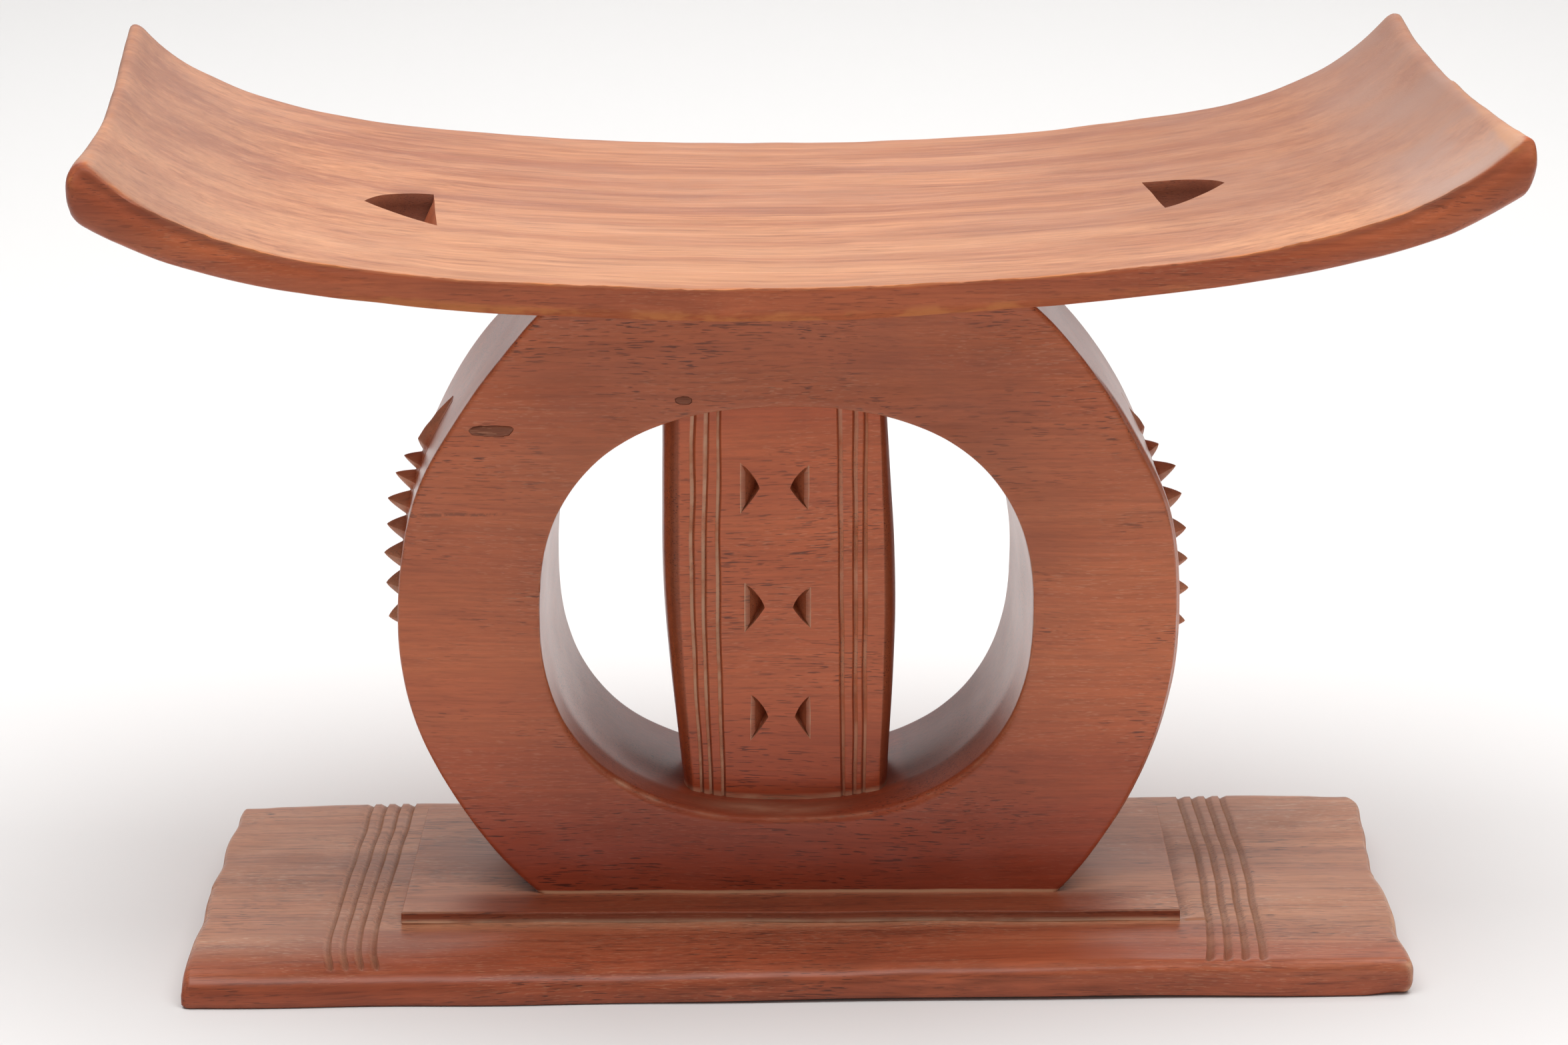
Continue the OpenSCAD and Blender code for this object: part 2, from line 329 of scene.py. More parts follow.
def pocket_cutter(side):
    """A blind three-cornered pit, with its rounded point outward, that narrows as it deepens."""
    tip, back, front, back_bend, front_bend, bottom = map(np.array, POCKETS[side])
    count = 12
    outline = np.concatenate(
        [
            arc_between(back, back_bend, tip, count),
            arc_between(tip, front_bend, front, count),
            arc_between(front, (front + back) / 2, back, 6),
        ]
    )
    straight = np.arange(len(outline)) >= 2 * count
    rings = []
    for share, straight_share, drop, _ in POCKET_STACK:
        plan = bottom + (outline - bottom) * np.where(straight, straight_share, share)[:, None]
        level = seat_level(plan[:, 0], plan[:, 1], 1) - drop
        rings.append(from_seat(np.column_stack([plan, level])))
    if side > 0:
        rings = [ring[::-1] for ring in rings]
        straight = straight[::-1]
    # Painted shade inside each pit, darker as it deepens; its straight wall gets less, the left pit's
    # least; raw wood near the top
    deep = np.repeat([row[3] for row in POCKET_STACK], len(outline))
    shade = np.tile(np.where(straight, 0.15 if side < 0 else 0.8, 1.0), len(rings))
    return prism(rings, "cutter", marks_of(0 * deep, 0.2 * (1 - deep), (0.5 + 0.45 * deep) * shade))


def seat():
    """The curved seat, with its swelling ends and two pockets."""
    half = np.array([SEAT_HALF + SEAT_BULGE, SEAT_DEPTH_HALF, 1.0])
    xs, ys = spread(half[0], 5, 2.2, 6), spread(half[1], 5, 2.2, 7)
    flat, quads = block(xs, ys, spread(1, 0.93, 0.1, 8))
    # How far each edge is rounded, more so towards the ends; w runs from -1 below to 1 on top
    x, y, w = flat.T
    front, left = y < 0, x < 0
    near_end = smooth(np.abs(x), 186, 206)
    upper = smooth(w, -0.6, 0.6)
    top_y = np.where(front, 0.7 + 3.0 * near_end, 2.6 - 0.2 * near_end)
    low_y = np.where(front, 2.4 + 2.4 * near_end, 3.0 + 1.2 * near_end)
    top_w = np.where(front, 0.1 + 0.2 * near_end, 0.5) + near_end * np.where(left, 0, 0.3)
    low_w = np.where(front, 0.5, 0.6) + near_end * np.where(left & front, 0.05, 0.35)
    radius_x = 3.9 - upper * np.where(left, 0.9, 0.0)
    radius = [radius_x, low_y + (top_y - low_y) * upper, low_w + (top_w - low_w) * upper]
    points, edge = rounded(flat, half, np.column_stack(radius))
    # The ends' outline, and the nose that stands out below it
    x, y, w = points.T
    side = np.sign(x)
    across = y / SEAT_DEPTH_HALF
    share = (w + 1) / 2
    at_rim = smooth(np.abs(x), half[0] - 7, half[0] - 3) * (1 - smooth(-y, half[1] - 9, half[1] - 4))
    line = np.where(side < 0, through(SEAT_END[-1], across), through(SEAT_END[1], across))
    below = np.clip((share - 0.35) / 0.65, 0, 1)
    left_nose = SEAT_NOSE[-1] * (1 - 0.45 * smooth(across, -0.9, -0.3))
    nose = np.where(side < 0, left_nose, SEAT_NOSE[1]) * (1 - below**2)
    pull = smooth(np.abs(x), 140, 208)
    x = x + side * pull * (line - half[0]) + side * smooth(np.abs(x), 175, 208) * nose
    # The front face, hollow under its upper edge towards the ends
    toward_end = smooth(np.abs(x), 110, 200)
    face = smooth(-y, half[1] - 6, half[1] - 0.5)
    hollow = 0.9 * bell(share, 0.82, 0.2) - 0.8 * np.sin(np.pi * np.clip(share, 0, 0.8))
    made = np.column_stack([x, y + toward_end * face * hollow, seat_level(x, y, share)])
    made[:, 2] += 1.2 * share * smooth(-x, 188, 206) * smooth(-y, 70, 98)
    made[:, 2] += 0.22 * ripple(made[:, :2], 46, 3) + 0.1 * ripple(made, 17, 4)
    made[:, 1] += 0.45 * ripple(made, 60, 5) * np.abs(across) ** 6
    worn = edge * (0.16 * ripple(made, 7, 6) + 0.1 * ripple(made, 3.2, 7))
    made[:, 2] += worn
    made[:, 1] -= worn * np.sign(across)
    bleached = np.maximum(smooth(share, 0.92, 1.0), at_rim * smooth(share, 0.5, 0.8))
    bleached *= 1 - edge * np.where(front, 0.5, 0) * (1 - at_rim)
    # Lower front edge in the rubbed tone: wear, and painted light from the floor below
    lit_and_worn_low_front = front * smooth(0.42 - share, 0, 0.25) * (1 - smooth(np.abs(x + 20), 70, 170))
    # Painted shade in the hollow under the front's upper edge near the ends
    grime_and_shade = 0.28 * toward_end * face * bell(share, 0.86, 0.13)
    wear = np.where(share > 0.5, edge * (1 - 0.8 * at_rim), np.maximum(0.1 * edge, lit_and_worn_low_front))
    obj = mesh_object("seat_carved", from_seat(made), quads, marks_of(wear, 0, grime_and_shade, bleached))
    carve(obj, [pocket_cutter(-1), pocket_cutter(1)])
    return finish_mesh(obj)


# -------- ring


# The rim's radius at the front, by angle
RIM_KEYS = [
    (-180, 122.0), (-165, 122.3), (-150, 121.2), (-132, 121.8), (-90, 124),
    (-47, 126.2), (-28, 123.0), (-10, 121.8), (0, 121.4), (18, 122.3),
    (28, 121.2), (40, 122.4), (53, 125.2), (90, 130), (127, 124.5),
    (136, 121.7), (148, 120.9), (161, 122.2), (172, 121.9), (180, 122.0),
]


def rim_lip(c):
    """How far the rim swells just behind its front edge, on the right side only."""
    return 1.2 * smooth(c, 0.72, 0.88)


def rim_radius(angle, back):
    """Ring outline radius by angle in degrees above the right-hand horizontal."""
    wrapped = (angle + 180) % 360 - 180
    c, s = cos_sin(wrapped)
    front = through(RIM_KEYS, wrapped) + rim_lip(c) * smooth(back, 0.01, 0.06)
    return front + back * (122.6 - 0.4 * c - front) * (0.4 + 0.6 * smooth(s, -0.3, 0.2))


def hole_radius(angle):
    c, s = np.abs(cos_sin(angle))
    a, b = HOLE_SIZE
    return ((c / a) ** HOLE_POWER + (s / b) ** HOLE_POWER) ** (-1 / HOLE_POWER)


def ring_section(half):
    """Places round one section of the ring, from hole to rim and from front to back."""
    ps = spread(half[0], 3.2, 1.9)
    qs = spread(half[1], 3.2, 2.2)
    bottom = [(p, qs[0]) for p in ps[:-1]]
    right = [(ps[-1], q) for q in qs[:-1]]
    top = [(p, qs[-1]) for p in ps[:0:-1]]
    left = [(ps[0], q) for q in qs[:0:-1]]
    return np.array(bottom + right + top + left)


def ring():
    """The open ring, swept round the hole, with soft facets and wear."""
    half = np.array([SECTION_HALF, RING_HALF])
    loop = ring_section(half)
    angles = np.arange(0, 360, 0.5)
    angle = np.repeat(angles, len(loop))
    flat = np.tile(loop, (len(angles), 1))
    low_left = bell(angle, 235, 28) + 0.9 * bell(angle, 305, 30)
    inner_front = (flat[:, 0] < 0) & (flat[:, 1] < 0)
    size = np.where(inner_front, 0.7 + 2.2 * low_left, 1.1)
    points, edge = rounded(flat, half, size[:, None])
    depth = (points[:, 1] + RING_HALF) / (2 * RING_HALF)
    share = (points[:, 0] + half[0]) / (2 * half[0])
    c, s = cos_sin(angle)
    outer = rim_radius(angle, depth)
    inner = hole_radius(angle)
    narrow = 1 - (1 - HOLE_BACK) * depth
    inner_x = HOLE_AT[0] + inner * c * narrow
    inner_z = HOLE_AT[1] + inner * s
    x = inner_x + (outer * c - inner_x) * share
    z = inner_z + (outer * s - inner_z) * share
    face = np.abs(points[:, 1]) / RING_HALF
    made = np.column_stack([x, points[:, 1], z])
    wave = 0.25 * ripple(made[:, [0, 2]], 55, 11) + 0.08 * ripple(made[:, [0, 2]], 18, 12)
    made[:, 1] += wave * face**4
    facet = 0.09 * ripple(made, 34, 13) + 0.03 * ripple(made, 11, 14)
    away = np.where(share > 0.5, 1, -1) * np.abs(share - 0.5) * 2
    made[:, 0] += c * facet * away
    made[:, 2] += s * facet * away
    made[:, 1] += edge * 0.12 * ripple(made, 4, 15)
    x, y, z = made.T
    floor = smooth(0.06 - share, 0, 0.05) * smooth(-z, 10, 50)
    lip = smooth(-y + 6 * smooth(x, 5, 40), 14, 22)
    beside_post = 1 - smooth(np.abs(x), 42, 72)
    # Darker along the hole's front lip, and painted shade on the floor beside the post's foot
    dark = (0.34 - 0.22 * beside_post) * lip + 0.6 * beside_post * bell(y, -8, 13)
    scuffs = 0.5 * floor * bell(y, -25, 5) * bell(x, -6, 18)
    for place in RING_SCUFFS:
        here = bell(x, place[0], 3.6) * bell(z, place[1], 2.2)
        scuffs += edge * (share < 0.5) * (y < 0) * here
    here = np.arange(len(made)).reshape(len(angles), len(loop))
    there = np.roll(here, -1, 0)
    quads = np.stack([here, np.roll(here, -1, 1), np.roll(there, -1, 1), there], -1)
    wear = edge * np.where(share > 0.5, 0.1, 0.5)
    marks = marks_of(wear, np.clip(scuffs, 0, 1), floor * dark, floor * lip)
    return mesh_object("ring_carved", from_ring(made), quads.reshape(-1, 4), marks)


def trim_ring(obj):
    """Cuts the ring flat on the pad, to the seat's underside, and for the two fillers."""
    mesh = bmesh.new()
    mesh.from_mesh(obj.data)
    cut = bmesh.ops.bisect_plane(
        mesh,
        geom=mesh.verts[:] + mesh.edges[:] + mesh.faces[:],
        plane_co=(0, 0, (PAD_TOP - PAD_BITE) * MM),
        plane_no=(0, 0, -1),
        clear_outer=True,
    )
    edges = [e for e in cut["geom_cut"] if isinstance(e, bmesh.types.BMEdge)]
    bmesh.ops.contextual_create(mesh, geom=edges)
    mesh.to_mesh(obj.data)
    mesh.free()
    above, quads = block(np.linspace(-125, 125, 90), np.linspace(-60, 60, 13), np.arange(2))
    x, y, upper = above.T
    z = np.where(upper > 0, 330, seat_level(x, y, 0) + SEAT_BITE)
    cutter = mesh_object("cutter", from_seat(np.column_stack([x, y, z])), quads)
    carve(obj, [cutter] + [filler_cutter(name) for name in FILLERS])
    return finish_mesh(obj, 40)


# -------- fillers

# Each filler: its middle and half sizes in the ring's plane, how square it is, its seed
FILLERS = {
    "oval_filler": ((-32.3, 178.5 - RING_LEVEL), (2.7, 1.25), 2.2, 21),
    "long_filler": ((-91.4, 168.8 - RING_LEVEL), (6.4, 1.75), 3.2, 22),
}


def filler_outline(name, gap=0.0):
    """Places round a filler, a little uneven, in the ring's front face."""
    middle, size, power, seed = FILLERS[name]
    angle = np.linspace(0, TAU, 64, endpoint=False)
    way = np.column_stack([np.cos(angle), np.sin(angle)])
    plan = (np.array(size) + gap) * np.sign(way) * np.abs(way) ** (2 / power)
    plan *= (1 + 0.06 * ripple(plan, 5, seed) + 0.06 * ripple(plan, 1.6, seed + 40))[:, None]
    return middle + plan


def filler_level(plan, y):
    """A filler's outline at y behind the ring's front face."""
    return from_ring(np.insert(plan, 1, y - RING_HALF, 1))


def filler_cutter(name):
    outline = filler_outline(name, 0.04)
    rings = [filler_level(outline, y) for y in (-3, 1.9)]
    return prism(rings, "cutter", marks_of(np.zeros(2 * len(outline))))


def filler(name):
    """A plug let into the ring, with a softly domed face."""
    middle = FILLERS[name][0]
    outline = filler_outline(name)
    rings = [
        filler_level(middle + (outline - middle) * share, y)
        for share, y in ((0.3, -0.12), (0.75, -0.1), (0.95, -0.04), (1, 0.12), (1, 1.8))
    ]
    obj = prism(rings, name + "_let_in", marks_of(np.zeros(5 * len(outline))))
    return finish_mesh(obj, 50)


# -------- post

# The post's left edge, six lines and right edge: x at the foot, the middle and the top
POST_LINES = [
    (-30.4, -34.2, -34.2),
    (-27.1, -29.9, -29.5),
    (-24.2, -26.3, -25.0),
    (-20.3, -21.8, -21.4),
    (17.6, 16.6, 15.7),
    (21.2, 21.0, 20.6),
    (24.2, 24.1, 24.0),
    (29.5, 30.8, 28.8),
]
# How far the side faces stand out past the front edges: foot, middle, top
POST_SIDES = {-1: (3.0, 5.1, 5.2), 1: (2.6, 3.5, 2.2)}
# How wide a line is cut towards the post's middle, and away from it
GROOVE_IN = 0.75
GROOVE_OUT = 1.15
# How far the post reaches below and above the ring's middle
POST_REACH = 66
# The chips: height of each row, then for the left and right column the x of the long edge and
# of the point in each row, and half the long edge's height
CHIP_Z = (145.2, 105.8, 69.0)
CHIP_EDGE = ((-15.0, -13.7, -11.9), (6.6, 7.2, 7.2))
CHIP_POINT = ((-8.9, -7.3, -6.2), (0.6, 1.5, 2.2))
CHIP_HALF = (8.2, 7.2)


def by_height(values, height):
    """A curve through values at the post's foot, middle and top."""
    foot, middle, top = values
    return through([(-POST_REACH, foot), (0, middle), (POST_REACH - 4, top)], height)


def notch_cutter(row, column, side):
    """A stabbed three-cornered chip: shallow at its long edge, deepest at its point."""
    rng = np.random.default_rng(50 + row * 2 + column)
    z = CHIP_Z[row] - RING_LEVEL
    long_edge = CHIP_EDGE[column][row]
    point = CHIP_POINT[column][row]
    tall = CHIP_HALF[column] + rng.uniform(-0.4, 0.4)
    out = np.sign(long_edge - point)
    low, high = (long_edge, z - tall), (long_edge, z + tall)
    plan = np.concatenate(
        [
            arc_between(high, (point + out * 1.4, z + 4.6), (point, z), 8),
            arc_between((point, z), (point + out * 2.4, z - 4.0), low, 8),
            arc_between(low, (long_edge + out * 0.15, z), high, 6),
        ]
    )
    near = np.clip((plan[:, 0] - long_edge) / (point - long_edge), 0, 1)
    deep = 4.2 * near**0.8 + 0.25
    floor = np.array([long_edge * 0.3 + point * 0.7, z + 0.5])
    rings = []
    for share, depth in ((1.0, -2.0), (1.0, 0.0), (0.9, 0.75), (0.62, 1.0)):
        x, z = (floor + (plan - floor) * share).T
        y = side * POST_HALF - side * np.where(depth > 0, depth * deep, depth)
        rings.append(from_ring(np.column_stack([x, y, z])))
    fresh = np.concatenate([1 - 0.7 * near] * 2 + [0.35 * (1 - near), 0.1 * (1 - near)])
    # Painted shade in the chip, darker down its walls and towards its point
    chip_shade = np.concatenate([0 * near, 0.15 * near, 0.3 + 0.3 * near, 0.55 + 0 * near])
    return prism(rings, "cutter", marks_of(0 * chip_shade, fresh, chip_shade))


def post():
    """The upright in the hole: three cut lines at each side of both faces, and six chips."""
    centres = np.array([line[1] for line in POST_LINES])
    half_w = (centres[-1] - centres[0]) / 2
    key = centres - (centres[0] + centres[-1]) / 2
    cuts = [(key[i], 1 if i < 4 else -1) for i in range(1, 7)]
    steps = (-GROOVE_OUT, -0.8, -0.4, -0.1, 0.1, 0.4, GROOVE_IN)
    extra = [at + inward * step for at, inward in cuts for step in steps]
    xs = spread(half_w, 1.6, 1.7, 4, np.sort(extra))
    flat, quads = block(xs, spread(POST_HALF, 2.4, 1.8, 7), np.linspace(-1, 1, 121))
    half = np.array([half_w, POST_HALF, 10])
    points, edge = rounded(flat * [1, 1, 0], half, np.array([0.9, 0.9, 9.0]))
    x, y, _ = points.T
    height = flat[:, 2] * POST_REACH
    slot = np.clip(np.searchsorted(key, x, "right") - 1, 0, len(key) - 2)
    lines_x = np.array([by_height(line, height) for line in POST_LINES])
    for i in range(8):
        wander = 0.05 if i in (0, 7) else 0.14
        lines_x[i] += wander * ripple(height[:, None], 34, 30 + i, 5)
    t = (x - key[slot]) / (key[slot + 1] - key[slot])
    pick = np.arange(len(x))
    moved = lines_x[slot, pick] + t * (lines_x[slot + 1, pick] - lines_x[slot, pick])
    stand = np.where(x < 0, by_height(POST_SIDES[-1], height), by_height(POST_SIDES[1], height))
    bulge = stand * (1 - np.abs(y / POST_HALF) ** 6) * smooth(np.abs(x / half_w), 0.9, 1.0)
    moved += np.sign(x) * bulge
    face = np.abs(y) / POST_HALF
    on_face = face > 0.999
    cut = np.zeros(len(x))
    shadow = np.zeros(len(x))
    for at, inward in cuts:
        off = (x - at) * inward
        profile = np.where(off < 0, 1 + off / GROOVE_OUT, 1 - off / GROOVE_IN)
        cut = np.maximum(cut, np.clip(profile, 0, 1) * on_face)
        shadow = np.maximum(shadow, (off > 0) * (off < GROOVE_IN) * on_face)
    depth = 0.95 + 0.2 * ripple(np.column_stack([moved, height]), 14, 41)
    y = y - np.sign(y) * cut * depth
    hole_x = (moved - HOLE_AT[0]) / HOLE_SIZE[0]
    reach = HOLE_SIZE[1] * (1 - np.abs(hole_x) ** HOLE_POWER) ** (1 / HOLE_POWER) + 0.15
    made = np.column_stack([moved, y, HOLE_AT[1] + flat[:, 2] * reach])
    made[:, 1] += 0.15 * ripple(made[:, [0, 2]], 30, 42) * face**4
    left = x < 0
    raw = smooth(cut, 0.05, 0.4) * np.where(left, 1.0, 0.5) * (1 - shadow)
    raw = np.maximum(raw, 0.8 * smooth(-flat[:, 2], 0.972, 0.99))
    on_side = np.abs(x) > half_w - 0.5
    band = np.where(left, smooth(np.abs(y), POST_HALF - 2.6, POST_HALF - 1.4), 1.0)
    # Painted shade: the shadow side of each cut line, a band on the left side near the faces, and the
    # right side face
    grime_and_shade = np.maximum(0.6 * shadow, np.where(left, 0.5, 0.65) * band * on_side)
    marks = marks_of(edge * (1 - on_side), raw, grime_and_shade, ~left * on_side)
    obj = mesh_object("post_carved", from_ring(made), quads, marks)
    carve(obj, [notch_cutter(r, c, s) for r in range(3) for c in range(2) for s in (-1, 1)])
    return finish_mesh(obj, 32)


# -------- crests


# On each side: the angle and the height of every tooth's tip, and the length of the first ramp
CREST_TEETH = {
    -1: (
        [22.1, 19.0, 16.2, 12.3, 8.5, 4.2, -0.3, -5.4],
        [3.8, 6.0, 7.0, 7.6, 6.5, 6.6, 6.0, 6.0],
        8.0,
    ),
    1: (
        [24.1, 20.9, 17.0, 12.8, 7.6, 3.0, -1.4, -6.4],
        [3.0, 4.9, 7.7, 7.5, 7.4, 7.3, 7.7, 7.6],
        5.5,
    ),
}


def crest(side):
    """A row of eight pointed teeth along the rim; the first one rises in a long ramp."""
    tips, heights, first = CREST_TEETH[side]
    mids = [(a + b) / 2 for a, b in zip(tips[:-1], tips[1:])]
    edges = [tips[0] + first] + mids + [tips[-1] - 2.0]
    columns = []
    for i, tip in enumerate(tips):
        columns.append(np.linspace(edges[i], tip, 10 if i else 24, endpoint=False))
        columns.append(np.linspace(tip, edges[i + 1], 10, endpoint=False))
    columns.append(np.linspace(edges[-1], edges[-1] - 1.2, 4))
    angle = np.concatenate(columns)
    across = np.linspace(-1, 1, 33)
    a, t = (grid.ravel() for grid in np.meshgrid(angle, across, indexing="ij"))
    count = len(a)
    rib = 0.9 * smooth(edges[0] - a, 0, 9) * smooth(a, edges[-1] - 1.2, edges[-1])
    grown = rib * (1 - np.abs(t))
    for i, tip in enumerate(tips):
        reach = np.where(a > tip, edges[i] - tip, tip - edges[i + 1])
        s = np.abs(a - tip) / (reach * 1.06)
        lean = (s**1.3 + np.abs(t) ** 1.3) ** (1 / 1.3)
        grown = np.maximum(grown, heights[i] * (1 - np.clip(lean, 0, 1) ** 1.25))
    position = np.column_stack([a, t * CREST_HALF])
    grown = grown + 0.12 * ripple(position, 3.0, 60 + side) * (grown > 0.3)
    real = a if side > 0 else 180 - a
    c, s = cos_sin(real)
    grown = np.maximum(np.maximum(grown, 0.02) - rim_lip(c), 0.02)
    base = rim_radius(real, 0.55)
    y = CREST_Y + t * CREST_HALF
    shells = [np.column_stack([radius * c, y, radius * s]) for radius in (base + grown, base - 0.6)]

    index = np.arange(count).reshape(len(angle), len(across))
    quad = np.stack([index[:-1, :-1], index[:-1, 1:], index[1:, 1:], index[1:, :-1]], -1)
    quad = quad.reshape(-1, 4)
    rim = np.concatenate([index[0, :-1], index[:-1, -1], index[-1, :0:-1], index[:0:-1, 0]])
    after = np.roll(rim, -1)
    walls = np.column_stack([rim, after, after + count, rim + count])
    faces = np.concatenate([quad, quad[:, ::-1] + count, walls])
    # The first ramp is paled like the rim: a painted reflection, stronger on the right crest
    ramp_sheen = smooth(a - tips[0], 0, 2.5) * (1.0 if side > 0 else 0.6)
    under = np.zeros(count)
    raw = np.concatenate([np.maximum(0.55 * smooth(grown, 0.4, 2.0), ramp_sheen), under])
    wear = np.concatenate([smooth(grown, 4.5, 7.5), under])
    name = "crest_right_teeth" if side > 0 else "crest_left_teeth"
    obj = mesh_object(name, from_ring(np.concatenate(shells)), faces, marks_of(wear, raw))
    return finish_mesh(obj, 30)


# -------- base


PAD_MIDDLE = (PAD_LOW + PAD_HIGH) / 2
# Half the pad's length and width, and how far it is sunk into the slab
PAD_SIZE = (122.75, 45.5)
PAD_SUNK = 0.2


def pad():
    """The low step on the slab, with its front left raw along the foot, painted shade on its front face,
    and a painted shadow on its top before the ring.
    """
    half = np.array([PAD_SIZE[0], PAD_SIZE[1], (PAD_TOP - SLAB_TOP) / 2 + PAD_SUNK])
    flat, quads = block(
        spread(half[0], 1.2, 2.5, 3), spread(half[1], 1.2, 2.5, 3), spread(half[2], 0.8, 1.0, 3)
    )
    points, edge = rounded(flat, half, np.array([0.6, 0.6, 0.5]))
    x, y, z = points.T
    back = (y / half[1] + 1) / 2
    at_left, at_right = smooth(-x, 60, half[0]), smooth(x, 60, half[0])
    x = x + at_left * 2.4 * (back - 0.35) + at_right * 1.4 * (back - 0.5)
    low = z < 0
    y = y - np.where(low, 0.7, 0) * (y < -40)
    made = np.column_stack([x, y, z])
    made[:, 1] += 0.3 * ripple(made[:, :1], 70, 71, 5) * np.abs(y / half[1]) ** 8
    made[:, 2] += np.where(low, 0, 0.12 * ripple(made[:, :2], 40, 72))
    made[:, 2] += (SLAB_TOP + PAD_TOP) / 2 - PAD_SUNK
    low_line = smooth(-z, half[2] - 1.6, half[2] - 0.9) * (np.abs(y) > half[1] - 1.5)
    # Painted shade on the front face
    on_front = 0.6 * (1 - low_line) * (y < 1 - half[1])
    # Painted shadow of the ring on the pad's top before it
    before_ring = smooth(-y, 27, 34) * (1 - smooth(np.abs(x), 88, 118))
    dark = np.maximum(on_front, 0.54 * before_ring)
    # The fourth mark is a painted sheen on the top, kept out of the ring's painted shadow
    marks = marks_of(edge * 0.6, low_line, dark, 0.85 * (z > half[2] - 0.3) * (1 - before_ring))
    obj = mesh_object("pad_carved", turned(made, RING_TURN, PAD_MIDDLE[:2]), quads, marks)
    return finish_mesh(obj, 40)


SLAB_MIDDLE = (SLAB_LOW + SLAB_HIGH) / 2
SLAB_HALF = (SLAB_HIGH - SLAB_LOW) / 2 + [0.6, 0, 0]
# The four lines at each side: where the straight grid has them, and how far apart
SLAB_LINES_AT = 137.0
SLAB_LINES_STEP = 4.7
# The same along the real lines, as (y, x) and (y, step) from front to back
SLAB_LINES = {
    -1: [(-88, -136.7), (-70, -138.2), (-47, -138.1), (-14, -136.2), (54, -132.3)],
    1: [(-88, 134.5), (-70, 136.6), (-47, 138.0), (-14, 139.8), (54, 140.7)],
}
SLAB_PITCH = {
    -1: [(-88, 4.7), (-70, 4.7), (-47, 4.6), (-14, 4.6), (54, 4.6)],
    1: [(-88, 5.6), (-70, 5.3), (-47, 5.0), (-14, 4.9), (54, 4.7)],
}
# The y of the scoops in each end
SLAB_SCOOPS = ((-1, 38), (-1, 2), (-1, -43), (1, 33), (1, -12), (1, -64))
# The pad's right edge: its x in the middle, how much that grows per millimetre back, and that y
PAD_EDGE = (PAD_MIDDLE[0] + PAD_SIZE[0], 0.033, PAD_MIDDLE[1])
# The y of the pad's right front corner, where its front cut runs on for a little way
PAD_CORNER_Y = PAD_MIDDLE[1] - 47.6
# How wide the slab's lines are cut towards its middle, and away from it
SLAB_GROOVE_IN = 0.7
SLAB_GROOVE_OUT = 2.1


def slab_block():
    """The slab as a block with rounded edges, and grid lines where something is cut."""
    half = SLAB_HALF
    steps = (-SLAB_GROOVE_OUT, -1.3, -0.6, -0.1, 0.3, SLAB_GROOVE_IN)
    extra = list(PAD_EDGE[0] + np.arange(-5.6, 5.7, 0.8) - SLAB_MIDDLE[0])
    for side in (-1, 1):
        for key in slab_keys(side):
            extra += [key - side * step for step in steps]
    xs = spread(half[0], 3.2, 2.0, 5, np.sort(extra))
    corner_ys = PAD_CORNER_Y - SLAB_MIDDLE[1] + np.array([-0.9, 0, 0.9])
    ys = spread(half[1], 9.5, 1.9, 9, corner_ys)
    flat, quads = block(xs, ys, spread(half[2], half[2] - 0.4, 1.0, 8))
    x, y, z = flat.T
    top, front = z > 0, y < 0
    left = smooth(-x, -150, 40)
    up = smooth(z, -0.3 * half[2], 0.5 * half[2])
    edge_y = 1.5 + up * np.where(front, 2.1 + 3.5 * left, 1.1)
    edge_z = np.where(top, np.where(front, 3.4 + (half[2] - 4.4) * left, 2.2), 1.3)
    near_end = smooth(np.abs(x), half[0] - 16, half[0] - 5) * ~(front & (x < 0))
    edge_y += near_end * (3.6 - edge_y)
    edge_z += near_end * (4.6 - edge_z)
    radius = np.column_stack([np.where(front, 3.0, 1.8), edge_y, edge_z])
    points, edge = rounded(flat, half, radius)
    return points, edge, quads, top, front, left


def slab_keys(side):
    """The x of the four lines at one side, on the straight grid."""
    return side * SLAB_LINES_AT - SLAB_MIDDLE[0] + (np.arange(4) - 1.5) * SLAB_LINES_STEP


def slab_lines(x, y):
    """How far the grid is pulled along X onto the lines, and how deep each point is in one."""
    shift = np.zeros(len(x))
    cut = np.zeros(len(x))
    for side in (-1, 1):
        off = x - (side * SLAB_LINES_AT - SLAB_MIDDLE[0])
        line_x = through(SLAB_LINES[side], y) - SLAB_MIDDLE[0]
        target = line_x + off * through(SLAB_PITCH[side], y) / SLAB_LINES_STEP - x
        falloff = 1 - smooth(np.abs(off), 10, 34)
        if side < 0:
            falloff = np.where(off < 0, 1 - smooth(-off, 10, 50), falloff)
        shift += target * falloff
        for i, key in enumerate(slab_keys(side)):
            inward = (x - key) * -side
            profile = np.where(inward < 0, 1 + inward / SLAB_GROOVE_OUT, 1 - inward / SLAB_GROOVE_IN)
            start = smooth(y, -86.5, -83.5 + i * 0.3)
            cut = np.maximum(cut, np.clip(profile, 0, 1) * start)
        shift += falloff * 0.3 * ripple(np.column_stack([y, x * 0.25]), 26, 80 + side, 6)
    return shift, cut


def slab_ends(x, y, high_share):
    """How far the ends move along X: scoops, cut corners, a bow, a flare and a taper."""
    half = SLAB_HALF
    left_end = x < 0
    amount = 0.3 + np.where(left_end, 1.0, 1.6) * high_share
    scoops = np.zeros(len(x))
    for side, place in SLAB_SCOOPS:
        spot = bell(y + SLAB_MIDDLE[1] + 4 * high_share, place + 3, 10.5)
        scoops += np.where(np.sign(x) == side, spot * amount, 0)
    corner = np.where(left_end, 1.0, 3.2) * smooth(y, half[1] - 13, half[1]) ** 2
    bow = 0.6 * (1 - (y / half[1]) ** 2)
    flare = np.where(left_end, 0, 4.2 * smooth(y, 0.3 * half[1], 0.75 * half[1]))
    taper = np.where(left_end, 5.6 * (y / (2 * half[1]) + 0.5), 0)
    tip = smooth(np.abs(x), half[0] - 30, half[0] - 2)
    return tip * (taper - np.sign(x) * (scoops + corner - bow - flare))


